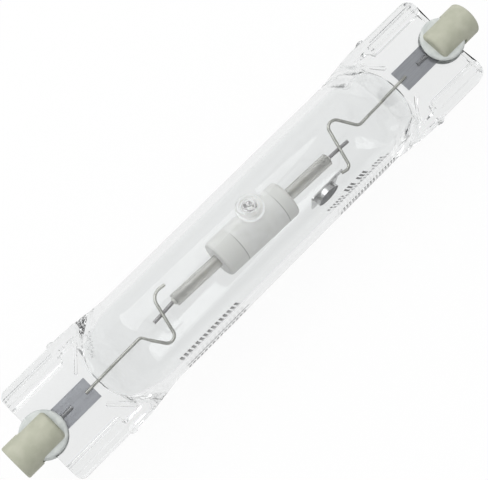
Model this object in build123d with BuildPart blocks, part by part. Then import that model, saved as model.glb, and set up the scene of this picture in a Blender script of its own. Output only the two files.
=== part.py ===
from build123d import *
import os
from math import cos, radians, sin

os.makedirs("parts", exist_ok=True)

# A double-ended ceramic metal halide lamp, in millimetres.
# X runs along the lamp through both caps, Z is up, and the flat pinches lie level.
# The origin is on the lamp's axis, half-way between the caps.

# Whole lamp
lamp_length = 117.6
contact_recess = 1.7
sides = {"left": -1, "right": 1}

# Outer bulb: a clear tube with a pinch at each end. Each setback is measured from the lamp's own end
tube_diameter = 19.4
tube_wall = 1.55
shoulder_setback = 30.8
cavity_setback = 20.1
shoulder_width = 21.4
arch_fullness = 2.4

# Pinch: a flat web with a thick rib along each long edge
pinch_setback = 5.8
pinch_width = 20.8
web_thickness = 2.8
rib_thickness = 4.6
rib_setback = 24.3
rib_slope_foot = 6.75
rib_crest_inner = 7.85
rib_corner_radius = 1.2
rib_step_setback = 18.5
rib_step_slant = 0.8
narrow_rib_width = 1.9
pinch_corner_radius = 1.6
bump_radius = 1.0
bump_proud = 0.65
tab_width = 5.2
tab_length = 2.0

# Wire mouth: the small pocket where a lead enters the bulb
mouth_width = 3.2
mouth_height = 1.9
mouth_depth = 0.8

# Exhaust tip: the sealed-off stub of the pumping tube
tip_offset = 0.65
tip_roll = 10.0
tip_foot_radius = 3.0
tip_neck_radius = 1.4
tip_height = 1.8
tip_funnel_radius = 1.2
tip_funnel_height = 1.0

# Ceramic caps
cap_diameter = 7.1
cap_length = 9.6
cap_slot_length = 6.0
cap_edge_radius = 0.3
cap_tongue_radius = 0.8
recess_diameter = 4.4
cap_bore_diameter = 3.0
cement_gap = 0.1

# Cement collar round the cap's two tongues, seen from above as an ellipse
collar_centre = 6.9
collar_half_length = 4.3
collar_half_width = 4.4
collar_thickness = 3.6
collar_round = 0.6

# Contact, in a seat at the bottom of the recess
contact_seat_diameter = 4.0
contact_thickness = 0.8
contact_clearance = 0.05
contact_dimple_radius = 1.2
contact_dimple_depth = 0.3

# Foil and the leads pressed a little flat where they are welded to its upper face
weld_flat = 0.05
foil_width = 4.65
foil_thickness = 0.1
foil_setback = 18.65
foil_length = 11.3
outer_lead_diameter = 0.7
outer_lead_setback = 13.7
inner_lead_diameter = 0.6
inner_lead_overlap = 1.6

# Arc tube: a hollow barrel, two plugs and two capillaries on one slightly tilted line
arc_centre_x = 0.3
arc_centre_y = 0.1
arc_tilt = -1.95
barrel_diameter = 7.6
barrel_wall = 0.75
barrel_length = 17.2
barrel_edge_radius = 0.6
plug_depths = {"left": 4.2, "right": 2.7}
capillary_diameter = 2.5
capillary_bore = 0.85
capillary_reach = 19.35

# Current path through each capillary
feedthrough_diameter = 0.7
feedthrough_overhangs = {"left": 5.4, "right": 5.25}
feedthrough_bends = {"left": -0.45, "right": -0.1}
feedthrough_depth = 4.8
feedthrough_bend_radius = 6.0
frit_depth = 2.4
frit_radius = 0.85
frit_proud = 0.45
electrode_diameter = 0.35
electrode_setback = 5.1
coil_wire = 0.18
coil_end_gap = 0.4
coil_clearance = 0.005
tip_coil_turns = 4
tip_coil_setback = 0.5
weld_gap = 0.02

# Lead routes in the foil's plane: how far out from the capillary's mouth, and how far across as a share
# of the bulb's bore, with the bend radius at each inner corner
left_lead_route = [(9.0, 0.031), (4.7, -0.74), (2.0, 0.54), (-1.04, 0.49)]
left_lead_radii = [1.1, 1.35, 2.2]
right_lead_route = [(9.0, -0.042), (5.35, 0.74), (1.95, -0.59), (0.05, -0.53)]
right_lead_radii = [1.2, 1.45, 1.1]

# Getter: a plate welded to the end of the right lead by its neck, with a shallow cup of pressed powder
# on its outer face. The plate is half the bore's radius high and a little more, and the margins say how
# much smaller the powder tablet is than the plate
getter_thickness = 0.25
getter_extra_height = 1.425
getter_corner_radius = 0.5
getter_tilt = 10.5
getter_top = 0.25
neck_length = 1.4
neck_overlap = 0.5
neck_height = 1.1
neck_foot_height = 3.4
tablet_margin = 0.35
tablet_end_margin = 0.7
tablet_shift = 0.3
tablet_edge_radius = 0.15
cup_wall = 0.12
cup_floor = 0.15
cup_depth = 1.0
cup_rim = 0.1

# Sizes that follow from those above
tube_radius = tube_diameter / 2
bore_radius = tube_radius - tube_wall
cap_outer_end = lamp_length / 2
shoulder_start = cap_outer_end - shoulder_setback
cavity_end = cap_outer_end - cavity_setback
rib_start = cap_outer_end - rib_setback
rib_step = cap_outer_end - rib_step_setback
pinch_end = cap_outer_end - pinch_setback
foil_start = cap_outer_end - foil_setback
outer_lead_start = cap_outer_end - outer_lead_setback
half_web = web_thickness / 2
half_rib = rib_thickness / 2
half_pinch = pinch_width / 2
rib_crest_outer = half_pinch - rib_corner_radius
cap_radius = cap_diameter / 2
cap_inner_end = cap_outer_end - cap_length
cap_slot_end = cap_inner_end + cap_slot_length
contact_face = cap_outer_end - contact_recess
contact_back = contact_face - contact_thickness
inner_lead_radius = inner_lead_diameter / 2
inner_lead_z = foil_thickness / 2 + inner_lead_radius - weld_flat
outer_lead_radius = outer_lead_diameter / 2
outer_lead_z = foil_thickness / 2 + outer_lead_radius - weld_flat
feedthrough_radius = feedthrough_diameter / 2
arc_centre_z = inner_lead_z - inner_lead_radius - feedthrough_radius - weld_gap
arc_direction = Vector(cos(radians(arc_tilt)), sin(radians(arc_tilt)), 0)
arc_across = Vector(-sin(radians(arc_tilt)), cos(radians(arc_tilt)), 0)
arc_centre = Vector(arc_centre_x, arc_centre_y, arc_centre_z)
barrel_half = barrel_length / 2
electrode_radius = electrode_diameter / 2
electrode_tip = barrel_half - electrode_setback
feedthrough_inner = capillary_reach - feedthrough_depth
getter_height = bore_radius / 2 + getter_extra_height
tablet_diameter = getter_height - 2 * tablet_margin
getter_length = tablet_diameter + 2 * tablet_end_margin


def arc_plane(distance):
    """A plane across the arc tube's line, the given distance from its middle."""
    return Plane(arc_centre + arc_direction * distance, x_dir=arc_across, z_dir=arc_direction)


def arc_section():
    """The plane through the arc tube's line: x along it, y across it."""
    return Plane(arc_centre, x_dir=arc_direction, z_dir=Vector(0, 0, 1))


def arc_line():
    return Axis(arc_centre, arc_direction)


def shoulder_sections():
    """Ellipses that turn the round tube into the flat pinch: x, half width, half height."""
    run = rib_step - shoulder_start
    end_width = shoulder_width / 2
    return [
        (shoulder_start, tube_radius, tube_radius),
        (shoulder_start + 0.28 * run, tube_radius + 0.35 * (end_width - tube_radius), 0.87 * tube_radius),
        (shoulder_start + 0.52 * run, tube_radius + 0.75 * (end_width - tube_radius), 0.53 * tube_radius),
        (shoulder_start + 0.75 * run, end_width, half_web + 0.8),
        (rib_step, end_width, half_web + 0.05),
    ]


def cavity_sections():
    """The same for the cavity, which closes as an arch in plan and as a wedge from the side."""
    run = cavity_end - shoulder_start
    heights = [(0.3, 0.8), (0.57, 0.43), (0.8, 0.16), (0.96, 0.065)]
    sections = [(shoulder_start, bore_radius, bore_radius)]
    for share, height in heights:
        half_width = bore_radius * (1 - share**arch_fullness) ** (1 / arch_fullness)
        sections.append((shoulder_start + share * run, half_width, bore_radius * height))
    return sections


def route_points(side, route):
    """The corners of a lead's route, from its table."""
    return [(side * (capillary_reach + out), share * bore_radius) for out, share in route]


# Pinch: a web with ribs, cut to its rounded outline
with BuildPart() as pinch:
    with BuildSketch(Plane.YZ.offset(rib_start)):
        with BuildLine():
            web_line = Line((0, half_web), (rib_slope_foot, half_web))
            slope_line = Line(web_line @ 1, (rib_crest_inner, half_rib))
            crest_line = Line(slope_line @ 1, (rib_crest_outer, half_rib))
            corner_arc = TangentArc(
                crest_line @ 1, (half_pinch, half_rib - rib_corner_radius), tangent=(1, 0)
            )
            Line(corner_arc @ 1, (half_pinch, 0))
            mirror(about=Plane.XZ)
            mirror(about=Plane.YZ)
        make_face()
    extrude(amount=pinch_end - rib_start)
    with BuildSketch(Plane.XY.offset(-half_rib)):
        with BuildLine():
            Polyline(
                (rib_start, -half_pinch),
                (pinch_end, -half_pinch),
                (pinch_end, half_pinch),
                (rib_start, half_pinch),
                close=True,
            )
        make_face()
        outline = vertices().group_by(Axis.X)[-1]
        fillet(outline, radius=pinch_corner_radius)
    extrude(amount=rib_thickness, mode=Mode.INTERSECT)
    # The ribs are narrower between the step and the shoulder
    with BuildSketch(Plane.XY.offset(half_web)):
        with BuildLine():
            Polyline(
                (rib_start, half_pinch - narrow_rib_width),
                (rib_step, half_pinch - narrow_rib_width),
                (rib_step + rib_step_slant, rib_slope_foot),
                (rib_step + rib_step_slant, -rib_slope_foot),
                (rib_step, narrow_rib_width - half_pinch),
                (rib_start, narrow_rib_width - half_pinch),
                close=True,
            )
        make_face()
    narrow_cut = extrude(amount=half_rib, mode=Mode.SUBTRACT)
    mirror(narrow_cut, about=Plane.XY, mode=Mode.SUBTRACT)
    # A small bulge of glass stands out at the step of each rib
    with BuildSketch(Plane.XY.offset(-half_rib + 0.5)):
        with Locations(
            (rib_step, half_pinch + bump_proud - bump_radius),
            (rib_step, bump_radius - bump_proud - half_pinch),
        ):
            Circle(bump_radius)
    extrude(amount=rib_thickness - 1.0)
    # The tab that the cap's slot takes in
    with BuildSketch(Plane.XY.offset(-half_web)):
        with Locations((pinch_end + tab_length / 2, 0)):
            Rectangle(tab_length, tab_width)
    extrude(amount=web_thickness)


# One half of the cavity: the bore of the tube and its flattened end
with BuildPart() as half_cavity:
    with BuildSketch(Plane.YZ):
        Circle(bore_radius)
    extrude(amount=shoulder_start)
    for x, half_width, half_height in cavity_sections():
        with BuildSketch(Plane.YZ.offset(x)):
            Ellipse(half_width, half_height)
    loft()
    with BuildSketch(Plane.YZ.offset(cavity_end - mouth_depth)):
        SlotOverall(mouth_width, mouth_height)
    extrude(amount=mouth_depth)


# Exhaust tip and the funnel under it
roll = radians(tip_roll)
tip_plane = Plane((tip_offset, 0, 0), x_dir=(1, 0, 0), z_dir=(0, -cos(roll), sin(roll)))
tip_axis = Axis((tip_offset, 0, 0), (0, sin(roll), cos(roll)))
tip_foot = tube_radius - 0.6 * tube_wall
tip_top = tube_radius + tip_height
dome_centre = tip_top - tip_neck_radius
with BuildPart() as exhaust_tip:
    with BuildSketch(tip_plane):
        with BuildLine():
            Polyline((0, tip_top), (0, tip_foot), (tip_foot_radius, tip_foot))
            ThreePointArc(
                (tip_foot_radius, tip_foot),
                (tip_neck_radius + 0.4 * (tip_foot_radius - tip_neck_radius), tube_radius),
                (tip_neck_radius, dome_centre),
            )
            CenterArc((0, dome_centre), tip_neck_radius, start_angle=0, arc_size=90)
        make_face()
    revolve(axis=tip_axis)

with BuildPart() as tip_funnel:
    with BuildSketch(tip_plane):
        with BuildLine():
            Polyline(
                (0, bore_radius - 0.3),
                (tip_funnel_radius, bore_radius - 0.3),
                (0.25 * tip_funnel_radius, bore_radius + tip_funnel_height),
                (0, bore_radius + tip_funnel_height),
                close=True,
            )
        make_face()
    revolve(axis=tip_axis)


def make_foil(side):
    with BuildPart() as foil:
        with BuildSketch(Plane.XY.offset(-foil_thickness / 2)):
            with Locations((side * (foil_start + foil_length / 2), 0)):
                Rectangle(foil_length, foil_width)
        extrude(amount=foil_thickness)
    return foil.part


def make_outer_lead(side, foil):
    """A straight wire from the foil to the back of the contact."""
    with BuildPart() as lead:
        with BuildSketch(Plane.YZ.offset(side * outer_lead_start)):
            with Locations((0, outer_lead_z)):
                Circle(outer_lead_radius)
        extrude(amount=side * (contact_back - outer_lead_start))
        add(foil, mode=Mode.SUBTRACT)
    return lead.part


def make_inner_lead(side, route_table, radii, foil):
    """A bent wire from the foil to the weld on the feedthrough and a little past it."""
    start = (side * (foil_start + inner_lead_overlap), 0)
    with BuildPart() as lead:
        with BuildLine(Plane.XY.offset(inner_lead_z)) as route:
            FilletPolyline(start, *route_points(side, route_table), radius=radii)
        with BuildSketch(Plane(route.line @ 0, z_dir=route.line % 0)):
            Circle(inner_lead_radius)
        sweep()
        add(foil, mode=Mode.SUBTRACT)
    return lead.part


foils = {name: make_foil(side) for name, side in sides.items()}
outer_leads = {name: make_outer_lead(side, foils[name]) for name, side in sides.items()}
inner_leads = {
    "left": make_inner_lead(-1, left_lead_route, left_lead_radii, foils["left"]),
    "right": make_inner_lead(1, right_lead_route, right_lead_radii, foils["right"]),
}

# Outer bulb: one piece of clear quartz glass, closed round the foils and leads
with BuildPart() as outer_bulb:
    with BuildSketch(Plane.YZ):
        Circle(tube_radius)
    extrude(amount=shoulder_start)
    for x, half_width, half_height in shoulder_sections():
        with BuildSketch(Plane.YZ.offset(x)):
            Ellipse(half_width, half_height)
    loft()
    add(pinch.part)
    add(half_cavity.part, mode=Mode.SUBTRACT)
    mirror(about=Plane.YZ)
    add(exhaust_tip.part)
    add(tip_funnel.part, mode=Mode.SUBTRACT)
    for name in sides:
        add(foils[name], mode=Mode.SUBTRACT)
        add(outer_leads[name], mode=Mode.SUBTRACT)
        add(inner_leads[name], mode=Mode.SUBTRACT)
outer_bulb.part.label = "outer_bulb"
export_step(outer_bulb.part, "parts/outer_bulb.step")


def make_end_cap(side):
    """A ceramic sleeve with a recess for the contact and a slot that straddles the pinch."""
    with BuildPart() as end_cap:
        with BuildSketch(Plane.YZ.offset(side * cap_inner_end)):
            Circle(cap_radius)
        extrude(amount=side * cap_length)
        ends = edges().filter_by(GeomType.CIRCLE).sort_by(Axis.X)
        fillet(ends[0 if side > 0 else -1], radius=cap_tongue_radius)
        ends = edges().filter_by(GeomType.CIRCLE).sort_by(Axis.X)
        fillet(ends[-1 if side > 0 else 0], radius=cap_edge_radius)
        with BuildSketch(Plane.YZ.offset(side * cap_outer_end)):
            Circle(recess_diameter / 2)
        extrude(amount=-side * contact_recess, mode=Mode.SUBTRACT)
        with BuildSketch(Plane.YZ.offset(side * contact_face)):
            Circle(contact_seat_diameter / 2)
        extrude(amount=-side * contact_thickness, mode=Mode.SUBTRACT)
        with BuildSketch(Plane.YZ.offset(side * contact_back)):
            Circle(cap_bore_diameter / 2)
        extrude(amount=-side * (contact_back - cap_slot_end), mode=Mode.SUBTRACT)
        with BuildSketch(Plane.XZ.offset(-cap_diameter)):
            with Locations((side * (cap_inner_end + cap_slot_end) / 2, 0)):
                Rectangle(cap_slot_length, web_thickness + 2 * cement_gap)
        extrude(amount=2 * cap_diameter, mode=Mode.SUBTRACT)
    return end_cap.part


def make_contact(side):
    """A nickel-plated disc with a shallow dimple for the lampholder's pin."""
    with BuildPart() as contact:
        with BuildSketch(Plane.YZ.offset(side * contact_back)):
            Circle(contact_seat_diameter / 2 - contact_clearance)
        extrude(amount=side * contact_thickness)
        fillet(edges().filter_by(GeomType.CIRCLE).sort_by(Axis.X)[-1 if side > 0 else 0], radius=0.2)
        with BuildSketch(Plane.XY):
            with BuildLine():
                Polyline(
                    (side * contact_face, 0),
                    (side * (contact_face - contact_dimple_depth), 0),
                    (side * contact_face, contact_dimple_radius),
                    close=True,
                )
            make_face()
        revolve(axis=Axis.X, mode=Mode.SUBTRACT)
    return contact.part


def make_cement(side, end_cap, foil, outer_lead):
    """Cement that fills the slot and the bore and stands round the tongues as a collar."""
    with BuildPart() as cement:
        with BuildSketch(Plane.XY.offset(-collar_thickness / 2)):
            with Locations((side * (cap_outer_end - collar_centre), 0)):
                Ellipse(collar_half_length, collar_half_width)
        extrude(amount=collar_thickness)
        fillet(edges().filter_by(Plane.XY), radius=collar_round)
        with BuildSketch(Plane.YZ.offset(side * cap_slot_end)):
            Circle(cap_radius)
        extrude(amount=side * cap_length, mode=Mode.SUBTRACT)
        with BuildSketch(Plane.YZ.offset(side * cap_slot_end)):
            Circle(cap_bore_diameter / 2)
        extrude(amount=side * (contact_back - cap_slot_end))
        add(end_cap, mode=Mode.SUBTRACT)
        add(outer_bulb.part, mode=Mode.SUBTRACT)
        add(foil, mode=Mode.SUBTRACT)
        add(outer_lead, mode=Mode.SUBTRACT)
    return cement.part


def make_barrel():
    with BuildPart() as barrel:
        with BuildSketch(arc_plane(-barrel_half)):
            Circle(barrel_diameter / 2)
        extrude(amount=barrel_length)
        fillet(edges().filter_by(GeomType.CIRCLE), radius=barrel_edge_radius)
        with BuildSketch(arc_plane(-barrel_half)):
            Circle(barrel_diameter / 2 - barrel_wall)
        extrude(amount=barrel_length, mode=Mode.SUBTRACT)
    return barrel.part


def make_plug(side, depth):
    inner_face = side * (barrel_half - depth)
    with BuildPart() as plug:
        with BuildSketch(arc_plane(inner_face)):
            Circle(barrel_diameter / 2 - barrel_wall)
            Circle(capillary_diameter / 2, mode=Mode.SUBTRACT)
        extrude(amount=side * depth)
    return plug.part


def make_capillary(side, depth):
    inner_end = barrel_half - depth
    with BuildPart() as capillary:
        with BuildSketch(arc_plane(side * inner_end)):
            Circle(capillary_diameter / 2)
            Circle(capillary_bore / 2, mode=Mode.SUBTRACT)
        extrude(amount=side * (capillary_reach - inner_end))
    return capillary.part


def make_feedthrough(side, outer_end, bend):
    """A niobium rod, straight in the capillary and bent a little outside it."""
    with BuildPart() as feedthrough:
        with BuildLine(arc_section()) as route:
            FilletPolyline(
                (side * feedthrough_inner, 0),
                (side * (capillary_reach + frit_proud), 0),
                (side * outer_end, bend),
                radius=feedthrough_bend_radius,
            )
        with BuildSketch(Plane(route.line @ 0, z_dir=route.line % 0)):
            Circle(feedthrough_radius)
        sweep()
    return feedthrough.part


def make_frit(side, feedthrough):
    """Glass frit that seals the rod into the capillary, with a small bead on the tip."""
    mouth = side * capillary_reach
    inner = side * (capillary_reach - frit_depth)
    tip = side * (capillary_reach + frit_proud)
    with BuildPart() as frit:
        with BuildSketch(arc_section()):
            with BuildLine():
                Polyline((tip, 0), (inner, 0), (inner, capillary_bore / 2), (mouth, capillary_bore / 2))
                Polyline((mouth, capillary_bore / 2), (mouth, frit_radius))
                ThreePointArc(
                    (mouth, frit_radius),
                    (mouth + side * 0.7 * frit_proud, 0.75 * frit_radius),
                    (tip, 0),
                )
            make_face()
        revolve(axis=arc_line())
        add(feedthrough, mode=Mode.SUBTRACT)
    return frit.part


def make_electrode(side):
    """A thin rod from the feedthrough's inner end to its tip in the barrel."""
    with BuildPart() as electrode:
        with BuildSketch(arc_plane(side * electrode_tip)):
            Circle(electrode_radius)
        extrude(amount=side * (feedthrough_inner - electrode_tip))
    return electrode.part


def make_coil(side, start, turns):
    """A close-wound coil on the electrode, as a stack of touching rounded turns."""
    inner_radius = electrode_radius + coil_clearance
    middle_radius = inner_radius + coil_wire / 2
    with BuildPart() as coil:
        with BuildSketch(arc_section()):
            with BuildLine():
                Polyline(
                    (side * start, middle_radius),
                    (side * start, inner_radius),
                    (side * (start + turns * coil_wire), inner_radius),
                    (side * (start + turns * coil_wire), middle_radius),
                )
                for turn in range(turns):
                    near = start + turn * coil_wire
                    ThreePointArc(
                        (side * near, middle_radius),
                        (side * (near + coil_wire / 2), middle_radius + coil_wire / 2),
                        (side * (near + coil_wire), middle_radius),
                    )
            make_face()
        revolve(axis=arc_line())
    return coil.part


def getter_plane():
    """The outer face of the getter plate, tangent to the right lead, with y pointing up."""
    tilt = radians(getter_tilt)
    outward = Vector(0, -cos(tilt), sin(tilt))
    end_x, end_y = route_points(1, right_lead_route)[-1]
    lead_end = Vector(end_x, end_y, inner_lead_z)
    origin = lead_end - outward * (inner_lead_radius + weld_gap)
    return Plane(origin, x_dir=(1, 0, 0), z_dir=outward)


def getter_cup_centre():
    return (tablet_shift - neck_length - getter_length / 2, getter_top - getter_height / 2)


def make_getter_plate():
    """A plate that hangs below the lead, with a neck that narrows towards the weld on the lead's end."""
    with BuildPart() as plate:
        with BuildSketch(getter_plane()):
            with Locations((-neck_length - getter_length / 2, getter_top - getter_height / 2)):
                RectangleRounded(getter_length, getter_height, getter_corner_radius)
            with BuildLine():
                Polyline(
                    (-neck_length - getter_corner_radius, getter_top),
                    (neck_overlap, getter_top),
                    (neck_overlap, getter_top - neck_height),
                    (-neck_length / 2, getter_top - neck_height),
                    (-neck_length, getter_top - neck_foot_height),
                    (-neck_length - getter_corner_radius, getter_top - neck_foot_height),
                    close=True,
                )
            make_face()
        extrude(amount=-getter_thickness)
    return plate.part


def make_getter_cup():
    """A stamped steel cup, spot-welded to the plate by its floor."""
    with BuildPart() as cup:
        with BuildSketch(getter_plane()):
            with Locations(getter_cup_centre()):
                Circle(tablet_diameter / 2 + cup_wall)
        extrude(amount=cup_depth)
        with BuildSketch(getter_plane().offset(cup_floor)):
            with Locations(getter_cup_centre()):
                Circle(tablet_diameter / 2)
        extrude(amount=cup_depth - cup_floor, mode=Mode.SUBTRACT)
    return cup.part


def make_tablet():
    with BuildPart() as tablet:
        with BuildSketch(getter_plane().offset(cup_floor)):
            with Locations(getter_cup_centre()):
                Circle(tablet_diameter / 2)
        extrude(amount=cup_depth - cup_floor - cup_rim)
        fillet(faces().sort_by(Axis.Y)[0].edges(), radius=tablet_edge_radius)
    return tablet.part


pieces = {"arc_tube_barrel": make_barrel()}
for name, side in sides.items():
    depth = plug_depths[name]
    end_cap = make_end_cap(side)
    outer_end = capillary_reach + feedthrough_overhangs[name]
    feedthrough = make_feedthrough(side, outer_end, feedthrough_bends[name])
    shank_start = barrel_half - depth + coil_end_gap
    shank_turns = int((feedthrough_inner - coil_end_gap - shank_start) / coil_wire)
    pieces[f"end_cap_{name}"] = end_cap
    pieces[f"cap_contact_{name}"] = make_contact(side)
    pieces[f"cap_cement_{name}"] = make_cement(side, end_cap, foils[name], outer_leads[name])
    pieces[f"outer_lead_{name}"] = outer_leads[name]
    pieces[f"foil_{name}"] = foils[name]
    pieces[f"inner_lead_{name}"] = inner_leads[name]
    pieces[f"end_plug_{name}"] = make_plug(side, depth)
    pieces[f"capillary_{name}"] = make_capillary(side, depth)
    pieces[f"feedthrough_{name}"] = feedthrough
    pieces[f"frit_seal_{name}"] = make_frit(side, feedthrough)
    pieces[f"electrode_{name}"] = make_electrode(side)
    pieces[f"shank_coil_{name}"] = make_coil(side, shank_start, shank_turns)
    pieces[f"tip_coil_{name}"] = make_coil(side, electrode_tip + tip_coil_setback, tip_coil_turns)
pieces["getter_plate"] = make_getter_plate()
pieces["getter_cup"] = make_getter_cup()
pieces["getter_tablet"] = make_tablet()

for name, piece in pieces.items():
    piece.label = name
    export_step(piece, f"parts/{name}.step")
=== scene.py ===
import math
import random

import bmesh
import bpy
from mathutils import Matrix, Vector


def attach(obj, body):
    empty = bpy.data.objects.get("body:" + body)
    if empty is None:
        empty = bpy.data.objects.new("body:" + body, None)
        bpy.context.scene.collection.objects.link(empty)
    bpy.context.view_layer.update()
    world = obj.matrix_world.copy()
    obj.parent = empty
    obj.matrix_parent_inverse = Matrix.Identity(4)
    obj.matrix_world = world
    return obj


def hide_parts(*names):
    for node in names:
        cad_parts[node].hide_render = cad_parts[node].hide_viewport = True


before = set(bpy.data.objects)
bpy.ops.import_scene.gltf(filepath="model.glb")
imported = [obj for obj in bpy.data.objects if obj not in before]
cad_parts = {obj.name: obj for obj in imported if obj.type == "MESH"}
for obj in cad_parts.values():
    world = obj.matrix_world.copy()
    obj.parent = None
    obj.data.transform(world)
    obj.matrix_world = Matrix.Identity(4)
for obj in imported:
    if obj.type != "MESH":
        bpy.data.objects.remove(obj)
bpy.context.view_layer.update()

# Double-ended ceramic metal halide lamp. Sizes below are in millimetres, as in the part's source.
# X runs along the lamp, Z is up on the side of the exhaust tip.
mm = 0.001


# settings that many nodes share
smooth = {"interpolation_type": "SMOOTHSTEP"}
multiply = {"operation": "MULTIPLY"}
subtract = {"operation": "SUBTRACT"}
absolute = {"operation": "ABSOLUTE"}
greatest = {"operation": "MAXIMUM"}
dotProduct = {"operation": "DOT_PRODUCT"}
byFactor = {"operation": "SCALE"}


def hexColour(code):
    # sRGB hex to the linear colour that a shader takes
    parts = [int(code[i:i + 2], 16) / 255 for i in (1, 3, 5)]
    return [p / 12.92 if p <= 0.04045 else ((p + 0.055) / 1.055) ** 2.4 for p in parts] + [1.0]


def addNode(tree, kind, settings={}, inputs={}):
    # one node with its settings, and a value or a link for each input; inputs whose names repeat go by number
    node = tree.nodes.new(kind)
    for key, value in settings.items():
        setattr(node, key, value)
    for key, value in inputs.items():
        if isinstance(value, bpy.types.NodeSocket):
            tree.links.new(value, node.inputs[key])
        else:
            node.inputs[key].default_value = value
    return node


def newFinish(name, colour, roughness, metallic=0.0):
    # a material with a Principled shader, and object coordinates in millimetres
    material = bpy.data.materials.new(name)
    material.use_nodes = True
    tree = material.node_tree
    shader = tree.nodes["Principled BSDF"]
    shader.inputs["Base Color"].default_value = hexColour(colour)
    shader.inputs["Roughness"].default_value = roughness
    shader.inputs["Metallic"].default_value = metallic
    place = addNode(tree, "ShaderNodeTexCoord")
    scaled = addNode(tree, "ShaderNodeVectorMath", byFactor, {0: place.outputs["Object"], "Scale": 1 / mm})
    return material, tree, shader, scaled.outputs["Vector"]


def mottle(tree, shader, where, look):
    # soft change between two near colours, one patch about as wide as given
    noise = addNode(tree, "ShaderNodeTexNoise", {},
                    {"Vector": where, "Scale": 1 / look["patch"], "Detail": 3.0})
    ramp = addNode(tree, "ShaderNodeValToRGB", {}, {"Fac": noise.outputs["Fac"]})
    stops = ramp.color_ramp.elements
    for stop, position, colour in zip(stops, (0.35, 0.65), (look["dark"], look["light"])):
        stop.position = position
        stop.color = hexColour(colour)
    tree.links.new(ramp.outputs["Color"], shader.inputs["Base Color"])
    return ramp.outputs["Color"]


def roughen(tree, shader, where, look):
    # bumps of a real width and depth
    noise = addNode(tree, "ShaderNodeTexNoise", {},
                    {"Vector": where, "Scale": 1 / look["grain"], "Detail": 2.0})
    bump = addNode(tree, "ShaderNodeBump", {},
                   {"Height": noise.outputs["Fac"], "Distance": look["depth"] * mm, "Strength": 1.0})
    tree.links.new(bump.outputs["Normal"], shader.inputs["Normal"])


# Finishes

# Clear fused quartz, drawn as a tube and pressed flat at the ends: colourless, bright, with faint draw lines
quartzLook = {
    "tint": "#f7f8f8", "ior": 1.458,
    "markStart": (40.4, 4.0), "markEnd": (37.0, 7.4), "markEdge": (0.2, 0.36), "markDepth": 0.2,
    "lines": [(7.6, 0.14, 0.5), (9.15, 0.2, 1.0)], "lineEnds": (41.1, 41.4), "lineDepth": 0.14,
    "hatchStart": (7.7, 8.0), "hatchWidth": 0.5, "hatchDepth": 0.012,
    "waveWidth": 8.0, "waveStretch": (0.35, 1.0, 1.0), "waveDepth": 0.015,
}


def jawMarks(tree, flat, look):
    # height of the oblong marks that the pinching jaws leave in both faces
    (x1, y1), (x2, y2) = look["markStart"], look["markEnd"]
    length = math.hypot(x2 - x1, y2 - y1)
    way = ((x2 - x1) / length, (y2 - y1) / length, 0.0)
    fromStart = addNode(tree, "ShaderNodeVectorMath", subtract, {0: flat, 1: (x1, y1, 0.0)})
    along = addNode(tree, "ShaderNodeVectorMath", dotProduct, {0: fromStart.outputs[0], 1: way})
    kept = addNode(tree, "ShaderNodeClamp", {}, {"Value": along.outputs["Value"], "Min": 0.0, "Max": length})
    foot = addNode(tree, "ShaderNodeVectorMath", byFactor, {0: way, "Scale": kept.outputs["Result"]})
    away = addNode(tree, "ShaderNodeVectorMath", {"operation": "DISTANCE"},
                   {0: fromStart.outputs[0], 1: foot.outputs[0]})
    groove = addNode(tree, "ShaderNodeMapRange", smooth,
                     {"Value": away.outputs["Value"], "From Min": look["markEdge"][0],
                      "From Max": look["markEdge"][1]})
    return groove.outputs["Result"]


def ribLines(tree, y, inRib, look):
    # height of the lines along the ribs, each with its place, half width and strength
    total = 0.0
    for place, width, strength in look["lines"]:
        offset = addNode(tree, "ShaderNodeMath", subtract, {0: y, 1: place})
        gap = addNode(tree, "ShaderNodeMath", absolute, {0: offset.outputs[0]})
        ridge = addNode(tree, "ShaderNodeMapRange", smooth,
                        {"Value": gap.outputs[0], "From Min": 0.0, "From Max": width,
                         "To Min": strength, "To Max": 0.0})
        both = addNode(tree, "ShaderNodeMath", {"operation": "ADD"}, {0: total, 1: ridge.outputs["Result"]})
        total = both.outputs[0]
    return addNode(tree, "ShaderNodeMath", multiply, {0: total, 1: inRib}).outputs[0]


def crossedCuts(tree, flat, y, inRib, look):
    # height of the fine crossed cuts on the ribs, taken over from the jaws. At scale 1 the wave texture repeats
    # every 0.628 mm
    bandScale = 0.628 / (look["hatchWidth"] * math.sqrt(2))
    turned = addNode(tree, "ShaderNodeVectorMath", multiply, {0: flat, 1: (1.0, -1.0, 0.0)})
    cuts = [addNode(tree, "ShaderNodeTexWave", {"bands_direction": "DIAGONAL"},
                    {"Vector": way, "Scale": bandScale}).outputs["Fac"] for way in (flat, turned.outputs[0])]
    crossed = addNode(tree, "ShaderNodeMath", multiply, {0: cuts[0], 1: cuts[1]})
    onRib = addNode(tree, "ShaderNodeMapRange", smooth,
                    {"Value": y, "From Min": look["hatchStart"][0], "From Max": look["hatchStart"][1]})
    spot = addNode(tree, "ShaderNodeMath", multiply, {0: inRib, 1: onRib.outputs["Result"]})
    return addNode(tree, "ShaderNodeMath", multiply, {0: crossed.outputs[0], 1: spot.outputs[0]}).outputs[0]


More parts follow.
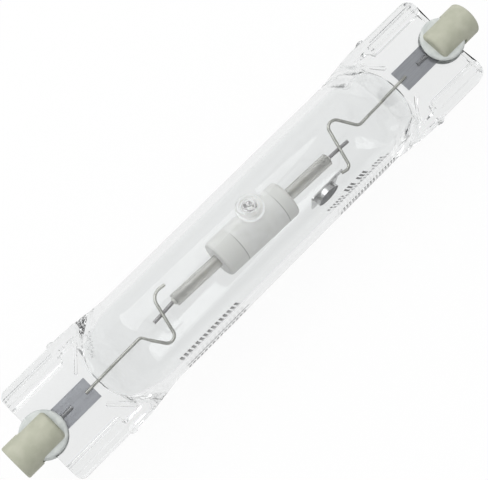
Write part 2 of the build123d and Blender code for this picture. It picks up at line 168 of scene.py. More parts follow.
def makeQuartz(look):
    material, tree, shader, where = newFinish("fusedQuartzClear", look["tint"], 0.0)
    shader.inputs["Transmission Weight"].default_value = 1.0
    shader.inputs["IOR"].default_value = look["ior"]
    # the jaws' relief is alike in the four corners and on both faces
    folded = addNode(tree, "ShaderNodeVectorMath", absolute, {0: where}).outputs[0]
    flat = addNode(tree, "ShaderNodeVectorMath", multiply, {0: folded, 1: (1.0, 1.0, 0.0)}).outputs[0]
    sides = addNode(tree, "ShaderNodeSeparateXYZ", {}, {0: flat})
    inRib = addNode(tree, "ShaderNodeMapRange", smooth,
                    {"Value": sides.outputs["X"], "From Min": look["lineEnds"][0],
                     "From Max": look["lineEnds"][1]}).outputs["Result"]
    stretched = addNode(tree, "ShaderNodeVectorMath", multiply, {0: where, 1: look["waveStretch"]})
    waves = addNode(tree, "ShaderNodeTexNoise", {},
                    {"Vector": stretched.outputs[0], "Scale": 1 / look["waveWidth"], "Detail": 1.0})
    below = {}
    for height, depth in ((jawMarks(tree, flat, look), look["markDepth"]),
                          (ribLines(tree, sides.outputs["Y"], inRib, look), look["lineDepth"]),
                          (crossedCuts(tree, flat, sides.outputs["Y"], inRib, look), look["hatchDepth"]),
                          (waves.outputs["Fac"], look["waveDepth"])):
        bump = addNode(tree, "ShaderNodeBump", {},
                       {"Height": height, "Distance": depth * mm, "Strength": 1.0, **below})
        below = {"Normal": bump.outputs["Normal"]}
    tree.links.new(bump.outputs["Normal"], shader.inputs["Normal"])
    return material


# Sintered polycrystalline alumina: white, waxy, lets light through but no image
aluminaLook = {"light": "#fcfcf9", "dark": "#f5f5f1", "roughness": 0.42, "through": 0.3, "reach": 1.5,
               "scatter": (1.0, 1.0, 0.95), "patch": 1.6, "grain": 0.12, "depth": 0.004}


def startAlumina(name, look):
    material, tree, shader, where = newFinish(name, look["light"], look["roughness"])
    shader.inputs["Subsurface Weight"].default_value = look["through"]
    shader.inputs["Subsurface Radius"].default_value = look["scatter"]
    shader.inputs["Subsurface Scale"].default_value = look["reach"] * mm
    body = mottle(tree, shader, where, look)
    roughen(tree, shader, where, look)
    return material, tree, shader, where, body


# The barrel shows the plugs through its wall as painted shade: greyer ends, and a fine painted shade line where
# each plug starts
barrelLook = {"plug": "#efefeb", "seamShade": "#a9a9a4", "centre": (0.3, 0.1, 0.0), "tilt": -1.95,
              "seams": (-4.28, 5.98), "plugEdge": (-0.05, 0.2), "seamWidth": 0.14, "seamShadeSide": (3.0, -0.6)}


def makeBarrelAlumina(look):
    material, tree, shader, where, body = startAlumina("sinteredAluminaBarrel", aluminaLook)
    tilt = math.radians(look["tilt"])
    moved = addNode(tree, "ShaderNodeVectorMath", subtract, {0: where, 1: look["centre"]})
    along = addNode(tree, "ShaderNodeVectorMath", dotProduct,
                    {0: moved.outputs[0], 1: (math.cos(tilt), math.sin(tilt), 0.0)})
    low, high = look["seams"]
    middle, half = (low + high) / 2, (high - low) / 2
    shifted = addNode(tree, "ShaderNodeMath", subtract, {0: along.outputs["Value"], 1: middle})
    outward = addNode(tree, "ShaderNodeMath", absolute, {0: shifted.outputs[0]})
    # painted shade: the ends, where the plugs sit behind the wall, turn to the plugs' grey
    ends = addNode(tree, "ShaderNodeMapRange", smooth,
                   {"Value": outward.outputs[0], "From Min": half + look["plugEdge"][0],
                    "From Max": half + look["plugEdge"][1]})
    plugShaded = addNode(tree, "ShaderNodeMix", {"data_type": "RGBA"},
                     {"Factor": ends.outputs["Result"], 6: body, 7: hexColour(look["plug"])})
    # painted shade: a fine grey line where each plug's inner face sits behind the wall
    offLine = addNode(tree, "ShaderNodeMath", subtract, {0: outward.outputs[0], 1: half})
    gap = addNode(tree, "ShaderNodeMath", absolute, {0: offLine.outputs[0]})
    line = addNode(tree, "ShaderNodeMapRange", smooth,
                   {"Value": gap.outputs[0], "From Min": 0.0, "From Max": look["seamWidth"],
                    "To Min": 1.0, "To Max": 0.0})
    # painted shade: the line shows on the shaded -Y side and fades towards the lit +Y side
    sides = addNode(tree, "ShaderNodeSeparateXYZ", {}, {0: where})
    reach = addNode(tree, "ShaderNodeMapRange", smooth,
                    {"Value": sides.outputs["Y"], "From Min": look["seamShadeSide"][0],
                     "From Max": look["seamShadeSide"][1]})
    shadedSideSeam = addNode(tree, "ShaderNodeMath", multiply,
                       {0: line.outputs["Result"], 1: reach.outputs["Result"]})
    seamShaded = addNode(tree, "ShaderNodeMix", {"data_type": "RGBA"},
                    {"Factor": shadedSideSeam.outputs[0], 6: plugShaded.outputs[2], 7: hexColour(look["seamShade"])})
    tree.links.new(seamShaded.outputs[2], shader.inputs["Base Color"])
    return material


# The thin capillary lets its dark core show as a blurred band
capillaryLook = {"tint": "#ecebe6", "roughness": 0.22, "ior": 1.76, "clear": 0.68,
                 "grain": 0.12, "depth": 0.004}


def makeCapillaryAlumina(look):
    material, tree, shader, where = newFinish("sinteredAluminaCapillary", look["tint"], look["roughness"])
    shader.inputs["Transmission Weight"].default_value = look["clear"]
    shader.inputs["IOR"].default_value = look["ior"]
    roughen(tree, shader, where, look)
    return material


# Unglazed steatite, pressed and fired: matt cream with a grey-green cast
steatiteLook = {"light": "#babbaa", "dark": "#aeb09e", "roughness": 0.62, "metallic": 0.0,
                "patch": 2.5, "grain": 0.15, "depth": 0.01}
# Zirconia cement, brushed on wet: chalky white with a blue cast, slightly lumpy
cementLook = {"light": "#d4d8d5", "dark": "#c2c7c5", "roughness": 0.8, "metallic": 0.0,
              "patch": 1.2, "grain": 0.4, "depth": 0.05}
# Rolled molybdenum ribbon in the glass: even mid grey, fine lines along it
foilLook = {"light": "#a1a3a8", "dark": "#97999e", "roughness": 0.45, "metallic": 1.0,
            "patch": 0.24, "grain": 0.12, "depth": 0.004}
# Drawn molybdenum rod: darker satin grey
rodLook = {"light": "#8f9091", "dark": "#77787a", "roughness": 0.35, "metallic": 1.0,
           "patch": 0.12, "grain": 0.06, "depth": 0.003}
# Drawn nickel-iron lead wire: satin, slightly warm grey
wireLook = {"light": "#b0b0aa", "dark": "#9a9a95", "roughness": 0.32, "metallic": 1.0,
            "patch": 1.0, "grain": 0.1, "depth": 0.003}
# Drawn niobium: dull dark grey
niobiumLook = {"light": "#9c9a9b", "dark": "#868485", "roughness": 0.4, "metallic": 1.0,
               "patch": 0.12, "grain": 0.06, "depth": 0.003}
# Molybdenum wire of the shank coil: straw-coloured from the heat of sealing
coilLook = {"light": "#b9b193", "dark": "#a89f80", "roughness": 0.4, "metallic": 1.0,
            "patch": 0.6, "grain": 0.1, "depth": 0.002}
# Drawn tungsten: dark steel grey
tungstenLook = {"light": "#6d6d70", "dark": "#5c5c5f", "roughness": 0.4, "metallic": 1.0,
                "patch": 0.6, "grain": 0.08, "depth": 0.002}
# Sealing frit: glossy milky glass
fritLook = {"light": "#e2e2dd", "dark": "#d2d2cd", "roughness": 0.18, "metallic": 0.0,
            "patch": 0.8, "grain": 0.3, "depth": 0.004}
# Nickel plate on the contact: bright, warm
nickelLook = {"light": "#c4c0b6", "dark": "#b4b0a6", "roughness": 0.22, "metallic": 1.0,
              "patch": 1.0, "grain": 0.2, "depth": 0.003}
# Nickel-plated steel strip of the getter: bright, nearly a mirror
stripLook = {"light": "#c9c9c9", "dark": "#b4b4b4", "roughness": 0.16, "metallic": 1.0,
             "patch": 1.5, "grain": 0.6, "depth": 0.01}
# Pressed getter powder: dark grey, matt, fine grain
powderLook = {"light": "#a0a0a2", "dark": "#7c7c7f", "roughness": 0.55, "metallic": 0.6,
              "patch": 0.5, "grain": 0.12, "depth": 0.02}
# Black ceramic print, fired on
inkLook = {"light": "#231f22", "dark": "#1a1719", "roughness": 0.5, "metallic": 0.0,
           "patch": 0.3, "grain": 0.1, "depth": 0.001}


def makePlain(name, look):
    material, tree, shader, where = newFinish(name, look["light"], look["roughness"], look["metallic"])
    mottle(tree, shader, where, look)
    roughen(tree, shader, where, look)
    return material


def makeDrawn(name, look):
    # fine lines along X, as rolling or drawing leaves them, drawn coarser than real so that they show
    material, tree, shader, where = newFinish(name, look["light"], look["roughness"], look["metallic"])
    stretched = addNode(tree, "ShaderNodeVectorMath", multiply, {0: where, 1: (0.05, 1.0, 1.0)})
    mottle(tree, shader, stretched.outputs[0], look)
    roughen(tree, shader, stretched.outputs[0], look)
    return material


finishes = {
    "quartz": makeQuartz(quartzLook),
    "alumina": startAlumina("sinteredAlumina", aluminaLook)[0],
    "barrel": makeBarrelAlumina(barrelLook),
    "capillary": makeCapillaryAlumina(capillaryLook),
    "steatite": makePlain("unglazedSteatite", steatiteLook),
    "cement": makePlain("brushedZirconiaCement", cementLook),
    "foil": makeDrawn("rolledMolybdenumFoil", foilLook),
    "rod": makeDrawn("drawnMolybdenumRod", rodLook),
    "wire": makePlain("drawnNickelIronWire", wireLook),
    "coil": makePlain("heatTintedMolybdenumCoil", coilLook),
    "niobium": makeDrawn("drawnNiobium", niobiumLook),
    "tungsten": makePlain("drawnTungsten", tungstenLook),
    "frit": makePlain("glossySealingFrit", fritLook),
    "nickel": makePlain("stampedNickelPlate", nickelLook),
    "strip": makePlain("nickelPlatedSteelStrip", stripLook),
    "powder": makePlain("pressedGetterPowder", powderLook),
    "ink": makePlain("firedBlackInk", inkLook),
}
print("finishes ready:", len(finishes))


def keepPart(name, finish):
    # a CAD node that keeps its shape and takes a finish
    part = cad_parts[name]
    part.data.materials.clear()
    part.data.materials.append(finishes[finish])


keptParts = {"end_cap": "steatite", "cap_contact": "nickel", "cap_cement": "cement", "outer_lead": "rod",
             "foil": "foil", "inner_lead": "wire", "end_plug": "alumina", "capillary": "capillary",
             "feedthrough": "niobium", "frit_seal": "frit", "electrode": "tungsten", "shank_coil": "coil",
             "tip_coil": "tungsten"}
for stem, finish in keptParts.items():
    for side in ("left", "right"):
        keepPart(stem + "_" + side, finish)
keepPart("arc_tube_barrel", "barrel")
keepPart("getter_plate", "strip")
keepPart("getter_cup", "strip")
keepPart("getter_tablet", "powder")
print("CAD parts finished")


def addPiece(name, shape, finish, body="root"):
    # a shape in millimetres as a finished piece of the lamp
    mesh = bpy.data.meshes.new(name)
    shape.to_mesh(mesh)
    shape.free()
    mesh.transform(Matrix.Scale(mm, 4))
    mesh.materials.append(finishes[finish])
    piece = bpy.data.objects.new(name, mesh)
    bpy.context.scene.collection.objects.link(piece)
    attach(piece, body)
    return piece


def smoothStep(low, high, value):
    share = min(max((value - low) / (high - low), 0.0), 1.0)
    return share * share * (3 - 2 * share)


def smoothMax(a, b, blend):
    # the larger of two heights, with a rounded corner where they cross
    share = max(blend - abs(a - b), 0.0) / blend
    return max(a, b) + share * share * blend / 4


def curveThrough(points, x):
    # a smooth line through the given points
    if x <= points[0][0]:
        return points[0][1]
    if x >= points[-1][0]:
        return points[-1][1]
    spot = next(i for i in range(len(points) - 1) if points[i + 1][0] >= x)
    (x1, y1), (x2, y2) = points[spot], points[spot + 1]
    before = points[spot - 1] if spot else (2 * x1 - x2, y1)
    after = points[spot + 2] if spot + 2 < len(points) else (2 * x2 - x1, y2)
    slope1 = (y2 - before[1]) / (x2 - before[0]) if spot else 0.0
    slope2 = (after[1] - y1) / (after[0] - x1)
    run = x2 - x1
    t = (x - x1) / run
    return ((2 * t**3 - 3 * t**2 + 1) * y1 + (t**3 - 2 * t**2 + t) * run * slope1
            + (3 * t**2 - 2 * t**3) * y2 + (t**3 - t**2) * run * slope2)


# Outer bulb. Widths and heights are half ones, each with its distance from the middle of the lamp. Steps give
# the ends of stretches and how far apart the rings are in each, and the end rings close the skin beyond them
bulb = {
    "tubeRadius": 9.7, "boreRadius": 8.15, "shoulderStart": 28.0, "shoulderEnd": 42.0,
    "shoulderWidths": [(28.0, 9.7), (31.44, 10.05), (34.4, 10.45), (37.2, 10.7), (40.3, 10.65), (41.5, 10.4)],
    "shoulderHeights": [(28.0, 9.7), (31.44, 8.44), (34.4, 5.14), (37.2, 2.2), (40.3, 1.3), (43.0, 1.0)],
    "pinchHalfWidth": 10.4, "pinchEnd": 53.0, "pinchCorner": 1.6, "endRounding": 0.15,
    "webHalf": 1.4, "ribHalf": 2.3, "ribCorner": 1.2, "foldBlend": 0.3,
    "ribStart": (34.0, 34.9), "ribStep": (40.3, 41.1), "narrowRib": (8.2, 8.55), "wideRib": (6.75, 7.85),
    "bumpPlace": (40.3, 10.05), "bumpRadius": 1.0, "bumpHalf": 1.8, "bumpFullness": 3,
    "tabHalfWidth": 2.6, "tabRounding": 0.3, "tabDrop": 0.25,
    "columns": 110, "creases": [6.75, 7.85, 9.2], "creaseGap": 0.1, "sharpAngle": 38,
    "steps": [(28.0, 1.0), (33.6, 0.5), (35.4, 0.15), (39.2, 0.3), (41.6, 0.1), (51.4, 9.8), (52.6, 0.12),
              (53.0, 0.04)],
    "endRings": [(53.0, 2.6, 1.4), (54.85, 2.6, 1.4), (54.96, 2.54, 1.34), (55.0, 2.42, 1.22)],
    "endSquareness": 1.3,
}
cavity = {
    "end": 38.7, "archFullness": 2.4,
    "heights": [(28.0, 8.15), (31.2, 6.52), (34.1, 3.5), (36.56, 1.3), (38.1, 0.6), (38.5, 0.42),
                (38.7, 0.12)],
    "rimStart": (30.5, 33.5), "rimHeight": 0.55, "rimFullness": 10.0, "rimBlend": 0.2,
    "mouthHalfWidth": 0.7, "mouthHalfHeight": 0.5, "mouthStart": 37.9, "mouthGrowth": (37.6, 38.1),
    "mouthBlend": 0.1, "lastReach": 0.15, "lastShare": 0.75,
    "columns": 72, "steps": [(28.0, 1.0), (37.2, 0.4), (38.6, 0.08)],
    "endRings": [(38.66, 1.3, 0.28), (38.7, 0.9, 0.12)], "endSquareness": 1.3,
}


def cornerLoss(radius, over):
    # what a round corner takes off at a distance past its start
    return radius - math.sqrt(max(radius**2 - over**2, 0.0)) if over > 0 else 0.0


def pinchHeight(x, y):
    edge = bulb["pinchHalfWidth"]
    edge -= cornerLoss(bulb["pinchCorner"], x - (bulb["pinchEnd"] - bulb["pinchCorner"]))
    if y > edge:
        return 0.0
    wide = smoothStep(*bulb["ribStep"], x)
    foot, crest = [narrow + wide * (broad - narrow)
                   for narrow, broad in zip(bulb["narrowRib"], bulb["wideRib"])]
    climb = min(max((y - foot) / (crest - foot), 0.0), 1.0)
    height = bulb["webHalf"] + (bulb["ribHalf"] - bulb["webHalf"]) * climb
    height -= cornerLoss(bulb["ribCorner"], y - (edge - bulb["ribCorner"]))
    height -= cornerLoss(bulb["endRounding"], x - (bulb["pinchEnd"] - bulb["endRounding"]))
    return height * smoothStep(*bulb["ribStart"], x)


def outerWidth(x):
    x = abs(x)
    if x <= bulb["shoulderStart"]:
        return bulb["tubeRadius"]
    if x > bulb["pinchEnd"]:
        return bulb["tabHalfWidth"]
    width = curveThrough(bulb["shoulderWidths"], x)
    width -= cornerLoss(bulb["pinchCorner"], x - (bulb["pinchEnd"] - bulb["pinchCorner"]))
    fromBump = x - bulb["bumpPlace"][0]
    if abs(fromBump) < bulb["bumpRadius"]:
        width = max(width, bulb["bumpPlace"][1] + math.sqrt(bulb["bumpRadius"] ** 2 - fromBump**2))
    return width


def outerHeight(x, y):
    x, y = abs(x), abs(y)
    if x <= bulb["shoulderStart"]:
        return math.sqrt(max(bulb["tubeRadius"] ** 2 - y * y, 0.0))
    if x > bulb["pinchEnd"]:
        edge = smoothStep(bulb["tabHalfWidth"] - bulb["tabRounding"], bulb["tabHalfWidth"], y)
        return bulb["webHalf"] - bulb["tabDrop"] * edge
    shoulder = 0.0
    if x <= bulb["shoulderEnd"]:
        width = curveThrough(bulb["shoulderWidths"], x)
        shoulder = curveThrough(bulb["shoulderHeights"], x) * math.sqrt(max(1 - (y / width) ** 2, 0.0))
    total = smoothMax(shoulder, pinchHeight(x, y), bulb["foldBlend"])
    away = math.hypot(x - bulb["bumpPlace"][0], y - bulb["bumpPlace"][1]) / bulb["bumpRadius"]
    if away < 1:
        dome = (1 - away ** bulb["bumpFullness"]) ** (1 / bulb["bumpFullness"])
        total = smoothMax(total, bulb["bumpHalf"] * dome, bulb["foldBlend"])
    return total


def cavityWidth(x):
    x = abs(x)
    if x <= bulb["shoulderStart"]:
        return bulb["boreRadius"]
    share = min((x - bulb["shoulderStart"]) / (cavity["end"] - bulb["shoulderStart"]), 1.0)
    arch = bulb["boreRadius"] * (1 - share ** cavity["archFullness"]) ** (1 / cavity["archFullness"])
    mouth = cavity["mouthHalfWidth"] if x > cavity["mouthStart"] else 0.0
    return max(arch, mouth)


def cavityHeight(x, y):
    x, y = abs(x), abs(y)
    if x <= bulb["shoulderStart"]:
        return math.sqrt(max(bulb["boreRadius"] ** 2 - y * y, 0.0))
    width = cavityWidth(x)
    height = curveThrough(cavity["heights"], x)
    arch = height * math.sqrt(max(1 - (y / width) ** 2, 0.0))
    # a blunt rim, which draws the dark line where the cavity ends
    rimHeight = min(cavity["rimHeight"], height) * smoothStep(*cavity["rimStart"], x)
    rim = rimHeight * math.sqrt(max(1 - (y / width) ** cavity["rimFullness"], 0.0))
    arch = smoothMax(arch, rim, cavity["rimBlend"]) if y < width else 0.0
    # the narrow mouth round the lead
    flat = cavity["mouthHalfWidth"] - cavity["mouthHalfHeight"]
    mouth = math.sqrt(max(cavity["mouthHalfHeight"] ** 2 - max(y - flat, 0.0) ** 2, 0.0))
    mouth *= smoothStep(*cavity["mouthGrowth"], x)
    if x > cavity["end"] - cavity["lastReach"]:
        mouth *= cavity["lastShare"]
    return smoothMax(arch, mouth, cavity["mouthBlend"])


# Exhaust tip, as distance from its line and height over the tube, and the funnel under it in the bore
exhaustTip = {
    "offset": 0.65, "roll": 10.0, "step": 0.25, "stepReach": 5.0, "patch": 3.4, "patchAngle": 20.0,
    "profile": [(3.1, 0.0), (2.95, -0.03), (2.8, -0.09), (2.68, -0.12), (2.6, -0.06), (2.57, 0.12),
                (2.55, 0.36), (2.5, 0.54), (2.4, 0.68), (2.26, 0.74), (2.1, 0.7), (1.94, 0.62),
                (1.8, 0.68), (1.68, 0.82), (1.56, 0.86), (1.42, 0.8), (1.32, 0.86), (1.26, 1.06),
                (1.2, 1.3), (1.12, 1.48), (0.98, 1.6), (0.82, 1.62), (0.66, 1.56), (0.5, 1.6),
                (0.32, 1.72), (0.12, 1.77)],
    "funnelPatch": 1.9, "funnelAngle": 13.0,
    "funnel": [(1.7, 0.0), (1.45, 0.03), (1.25, 0.12), (1.05, 0.28), (0.85, 0.48), (0.65, 0.68), (0.45, 0.84),
               (0.28, 0.94), (0.1, 0.99)],
}


def stationsAlong(steps):
    # distances of the rings along the lamp: close together where the shape changes and at the exhaust tip
    places = [0.0]
    for end, step in steps:
        start = places[-1]
        count = max(round((end - start) / step), 1)
        places += [start + (end - start) * (i + 1) / count for i in range(count)]
    nearTip = [i * exhaustTip["step"] for i in range(round(exhaustTip["stepReach"] / exhaustTip["step"]) + 1)]
    half = sorted(set(nearTip + [p for p in places if p > exhaustTip["stepReach"] + 0.01]))
    return [-p for p in reversed(half) if p > 0] + half


def columnAngles(columns, creases):
    # angles of the columns round the top half, with two columns close to each crease
    angles = [math.pi * (column + 0.5) / columns for column in range(columns)]
    wanted = [math.acos(side * (crease + shift) / bulb["pinchHalfWidth"])
              for side in (1, -1) for crease in creases for shift in (-bulb["creaseGap"], bulb["creaseGap"])]
    taken = set()
    for angle in wanted:
        nearest = min((i for i in range(columns) if i not in taken), key=lambda i: abs(angles[i] - angle))
        taken.add(nearest)
        angles[nearest] = angle
    return sorted(angles)


def addRing(shape, x, width, heights, angles):
    # a ring round the lamp's line, whose lower half mirrors the upper one
    return [shape.verts.new((x, side * width * math.cos(angle), side * height))
            for side in (1, -1) for angle, height in zip(angles, heights)]


def joinRings(shape, first, second, leftOut=()):
    for j in range(len(first)):
        if j not in leftOut:
            k = (j + 1) % len(first)
            shape.faces.new((first[j], first[k], second[k], second[j]))


def closeRing(shape, ring):
    middle = shape.verts.new(sum((v.co for v in ring), Vector()) / len(ring))
    for j in range(len(ring)):
        shape.faces.new((ring[j], ring[(j + 1) % len(ring)], middle))


def addTip(shape, border, radius, profile):
    # circles round the tip's line, each point on the ray of its border point
    roll = math.radians(exhaustTip["roll"])
    up = Vector((0, math.sin(roll), math.cos(roll)))
    across = Vector((0, math.cos(roll), -math.sin(roll)))
    rays = [math.atan2(v.co.dot(across), v.co.x - exhaustTip["offset"]) for v in border]
    outer = border
    for distance, height in profile:
        inner = []
        for ray in rays:
            side = distance * math.sin(ray)
            place = Vector((exhaustTip["offset"] + distance * math.cos(ray), 0, 0))
            place += across * side + up * (math.sqrt(radius**2 - side**2) + height)
            inner.append(shape.verts.new(place))
        joinRings(shape, outer, inner)
        outer = inner
    closeRing(shape, outer)


def addSkin(shape, sizes, widthAt, heightAt, creases, radius, patchHalf, patchAngle, profile):
    # a closed skin of rings along X, with a round patch let in on top for the exhaust tip
    stations = stationsAlong(sizes["steps"])
    angles = columnAngles(sizes["columns"], creases)
    rings = []
    for x in stations:
        width = widthAt(x)
        heights = [heightAt(x, width * math.cos(angle)) for angle in angles]
        rings.append(addRing(shape, x, width, heights, angles))
    for side in (-1, 1):
        for place, width, height in sizes["endRings"]:
            shares = [min(math.sqrt(math.sin(angle)) * sizes["endSquareness"], 1.0) for angle in angles]
            heights = [height * share for share in shares]
            ring = addRing(shape, side * place, width, heights, angles)
            rings.insert(0 if side < 0 else len(rings), ring)
    shift = len(sizes["endRings"])
    tipAngle = math.radians(90 - exhaustTip["roll"])
    tipHalf = math.radians(patchAngle)
    firstRing = shift + next(i for i, x in enumerate(stations) if x >= exhaustTip["offset"] - patchHalf)
    lastRing = shift + max(i for i, x in enumerate(stations) if x <= exhaustTip["offset"] + patchHalf)
    firstColumn = next(i for i, angle in enumerate(angles) if angle >= tipAngle - tipHalf)
    lastColumn = max(i for i, angle in enumerate(angles) if angle <= tipAngle + tipHalf)
    for i in range(len(rings) - 1):
        inPatch = firstRing <= i < lastRing
        joinRings(shape, rings[i], rings[i + 1], range(firstColumn, lastColumn) if inPatch else ())
    closeRing(shape, rings[0])
    closeRing(shape, rings[-1])
    border = [rings[i][firstColumn] for i in range(firstRing, lastRing)]
    border += [rings[lastRing][j] for j in range(firstColumn, lastColumn)]
    border += [rings[i][lastColumn] for i in range(lastRing, firstRing, -1)]
    border += [rings[firstRing][j] for j in range(lastColumn, firstColumn, -1)]
    addTip(shape, border, radius, profile)
    bmesh.ops.recalc_face_normals(shape, faces=shape.faces)


def takeIn(shape, inner):
    # an inner skin, turned inside out, as a hollow in the shape
    bmesh.ops.reverse_faces(inner, faces=inner.faces)
    mesh = bpy.data.meshes.new("hollow")
    inner.to_mesh(mesh)
    inner.free()
    shape.from_mesh(mesh)


outerShape = bmesh.new()
addSkin(outerShape, bulb, outerWidth, outerHeight, bulb["creases"], bulb["tubeRadius"],
        exhaustTip["patch"], exhaustTip["patchAngle"], exhaustTip["profile"])
cavityShape = bmesh.new()
addSkin(cavityShape, cavity, cavityWidth, cavityHeight, [], bulb["boreRadius"],
        exhaustTip["funnelPatch"], exhaustTip["funnelAngle"], exhaustTip["funnel"])
takeIn(outerShape, cavityShape)
# gas bubbles that the pinching trapped in the wall beside the left end of the cavity
bubbles = {"count": 46, "seed": 7, "from": (-33.7, 7.0), "to": (-36.5, 3.6), "spread": 0.42,
           "wallShares": (0.35, 0.65), "radii": (0.07, 0.2), "stretch": 1.5, "flatness": 0.8}
chance = random.Random(bubbles["seed"])
bubbleShape = bmesh.new()
for number in range(bubbles["count"]):
    share = chance.random()
    x, y = [start + (end - start) * share + chance.uniform(-1, 1) * bubbles["spread"]
            for start, end in zip(bubbles["from"], bubbles["to"])]
    radius = chance.uniform(*bubbles["radii"])
    low, high = cavityHeight(x, y), outerHeight(x, y)
    z = low + (high - low) * chance.uniform(*bubbles["wallShares"])
    size = Matrix.Diagonal((radius * bubbles["stretch"], radius, radius * bubbles["flatness"], 1.0))
    turn = Matrix.Rotation(chance.uniform(0, math.pi), 4, "Z")
    bmesh.ops.create_icosphere(bubbleShape, subdivisions=2, radius=1.0,
                               matrix=Matrix.Translation((x, y, z)) @ turn @ size)
takeIn(outerShape, bubbleShape)
for face in outerShape.faces:
    face.smooth = True
quartzBulb = addPiece("quartzBulb", outerShape, "quartz")
quartzBulb.data.set_sharp_from_angle(angle=math.radians(bulb["sharpAngle"]))
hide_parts("outer_bulb")
print("quartz bulb:", len(quartzBulb.data.polygons), "faces")


# Print on the far side of the tube, as plain strokes. Each row has its two ends, its middle and height as
# angles down from the top towards the front, its stroke and its gap
printRows = {
    "printLeft": [(-25.4, -10.0, 113, 18, 0.6, 0.4), (-25.4, -10.0, 98, 2, 15.4, 1.0)],
    "printRight": [(13.6, 18.4, 118, 8, 0.4, 0.35), (18.9, 21.2, 122, 15, 0.5, 0.35),
                   (22.2, 25.2, 122, 15, 0.5, 0.35), (25.8, 28.6, 118, 8, 0.4, 0.35),
                   (14.4, 29.4, 106, 10, 0.45, 0.35), (15.0, 29.4, 97, 4, 0.45, 0.35)],
}
printSkin = {"under": 9.702, "over": 9.712, "steps": 3}


def addStroke(shape, x1, x2, angle1, angle2):
    # one flat stroke of print, wrapped round the outside of the tube
    grid = []
    for radius in (printSkin["under"], printSkin["over"]):
        for step in range(printSkin["steps"] + 1):
            angle = math.radians(angle1 + (angle2 - angle1) * step / printSkin["steps"])
            grid.append([shape.verts.new((x, -radius * math.sin(angle), radius * math.cos(angle)))
                         for x in (x1, x2)])
    rows = printSkin["steps"] + 1
    for base in (0, rows):
        for i in range(base, base + rows - 1):
            shape.faces.new((grid[i][0], grid[i][1], grid[i + 1][1], grid[i + 1][0]))
    for side in (0, 1):
        for i in range(rows - 1):
            under, over = grid[i:i + 2], grid[rows + i:rows + i + 2]
            shape.faces.new((under[0][side], under[1][side], over[1][side], over[0][side]))
    for i in (0, rows - 1):
        shape.faces.new((grid[i][0], grid[i][1], grid[rows + i][1], grid[rows + i][0]))


for name, rows in printRows.items():
    printShape = bmesh.new()
    for start, end, middle, height, stroke, gap in rows:
        place = start
        while place + stroke <= end + 1e-6:
            addStroke(printShape, place, place + stroke, middle - height / 2, middle + height / 2)
            place += stroke + gap
    bmesh.ops.recalc_face_normals(printShape, faces=printShape.faces)
    addPiece(name, printShape, "ink")
print("print added")


# Floor, light and camera
studio = {"floorDepth": -9.72, "floorSize": 0.6, "floorColour": "#f4f4f4", "floorRoughness": 0.9,
          "seenShare": 0.95, "mirroredShare": 0.9, "mirroredWhite": 0.92,
          "worldColour": "#ffffff", "overhead": 0.8, "horizon": 0.28, "rise": (0.05, 0.75), "roomShare": 0.5,
          "lampPlace": (-0.15, 0.55, 0.6), "lampSize": 0.9, "lampPower": 4.2}


def whiteShare(tree, path, seen, mirrored):
    # how white a ray sees it: one share from the camera, another in metal and through glass
    bent = addNode(tree, "ShaderNodeMath", greatest,
                   {0: path.outputs["Is Glossy Ray"], 1: path.outputs["Is Transmission Ray"]})
    lesser = addNode(tree, "ShaderNodeMath", multiply, {0: bent.outputs[0], 1: mirrored})
    direct = addNode(tree, "ShaderNodeMath", multiply, {0: path.outputs["Is Camera Ray"], 1: seen})
    return addNode(tree, "ShaderNodeMath", greatest, {0: direct.outputs[0], 1: lesser.outputs[0]}).outputs[0]


def makeFloor(look):
    size = look["floorSize"]
    mesh = bpy.data.meshes.new("paleFloor")
    height = look["floorDepth"] * mm
    corners = [(x * size, y * size, height) for x, y in ((-1, -1), (1, -1), (1, 1), (-1, 1))]
    mesh.from_pydata(corners, [], [(0, 1, 2, 3)])
    floor = bpy.data.objects.new("paleFloor", mesh)
    bpy.context.scene.collection.objects.link(floor)
    material, tree, shader, where = newFinish("paleFloorCard", look["floorColour"], look["floorRoughness"])
    shader.inputs["Specular IOR Level"].default_value = 0.0
    # white where it is seen, a little less in metal and through glass; both keep some of the lamp's shadow
    path = addNode(tree, "ShaderNodeLightPath")
    share = whiteShare(tree, path, look["seenShare"], look["mirroredShare"])
    level = addNode(tree, "ShaderNodeMix", {},
                    {"Factor": path.outputs["Is Camera Ray"], 2: look["mirroredWhite"], 3: 1.0})
    white = addNode(tree, "ShaderNodeEmission", {}, {"Color": (1, 1, 1, 1), "Strength": level.outputs[0]})
    mixed = addNode(tree, "ShaderNodeMixShader", {}, {0: share, 1: shader.outputs[0], 2: white.outputs[0]})
    tree.links.new(mixed.outputs[0], tree.nodes["Material Output"].inputs["Surface"])
    mesh.materials.append(material)


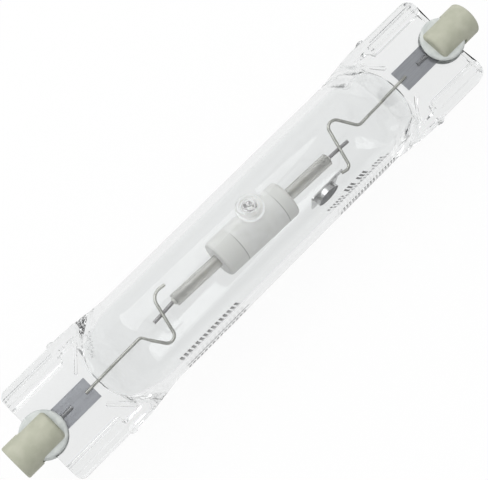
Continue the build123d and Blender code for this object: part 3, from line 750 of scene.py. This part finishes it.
def makeWorld(look):
    world = bpy.data.worlds.new("softStudio")
    bpy.context.scene.world = world
    world.use_nodes = True
    tree = world.node_tree
    place = addNode(tree, "ShaderNodeTexCoord")
    parts = addNode(tree, "ShaderNodeSeparateXYZ", {}, {0: place.outputs["Generated"]})
    # the room is darker towards the walls, which draws the edges of the glass
    level = addNode(tree, "ShaderNodeMapRange", smooth,
                    {"Value": parts.outputs["Z"], "From Min": look["rise"][0], "From Max": look["rise"][1],
                     "To Min": look["horizon"], "To Max": look["overhead"]})
    path = addNode(tree, "ShaderNodeLightPath")
    share = whiteShare(tree, path, 1.0, look["roomShare"])
    seen = addNode(tree, "ShaderNodeMix", {}, {"Factor": share, 2: level.outputs["Result"], 3: 1.0})
    background = tree.nodes["Background"]
    background.inputs["Color"].default_value = hexColour(look["worldColour"])
    tree.links.new(seen.outputs[0], background.inputs["Strength"])


def addLamp(name, place, size, power):
    lamp = bpy.data.lights.new(name, "AREA")
    lamp.shape = "DISK"
    lamp.size = size
    lamp.energy = power
    holder = bpy.data.objects.new(name, lamp)
    holder.location = place
    holder.rotation_euler = (-Vector(place)).to_track_quat("-Z", "Y").to_euler()
    holder.visible_glossy = False
    bpy.context.scene.collection.objects.link(holder)


makeFloor(studio)
makeWorld(studio)
addLamp("softLamp", studio["lampPlace"], studio["lampSize"], studio["lampPower"])

scene = bpy.context.scene
scene.view_settings.view_transform = "Standard"
# light crosses many glass walls here, and the usual few bounces would leave them black
bounces = {"max_bounces": 96, "glossy_bounces": 96, "transmission_bounces": 96, "diffuse_bounces": 12}
for kind, count in bounces.items():
    setattr(scene.cycles, kind, count)

# The photograph's viewpoint, from the top and a little from the left end
viewpoint = {"towards": (-0.2072, -0.1362, 0.9688), "distance": 250.0, "aim": (-2.23, -0.36, 0.0),
             "turn": 44.76, "lens": 101.66, "filmWidth": 36.0, "nearest": 0.01}


def makeCamera(look):
    camera = bpy.data.cameras.new("photoCamera")
    camera.lens = look["lens"]
    camera.sensor_width = look["filmWidth"]
    camera.clip_start = look["nearest"]
    holder = bpy.data.objects.new("photoCamera", camera)
    back = Vector(look["towards"]).normalized()
    along = (Vector((1, 0, 0)) - back * back.x).normalized()
    across = back.cross(along)
    turn = math.radians(look["turn"])
    right = along * math.cos(turn) - across * math.sin(turn)
    up = along * math.sin(turn) + across * math.cos(turn)
    place = (Vector(look["aim"]) + back * look["distance"]) * mm
    holder.matrix_world = Matrix.Translation(place) @ Matrix((right, up, back)).transposed().to_4x4()
    scene.collection.objects.link(holder)
    scene.camera = holder


makeCamera(viewpoint)
print("floor, light and camera ready")
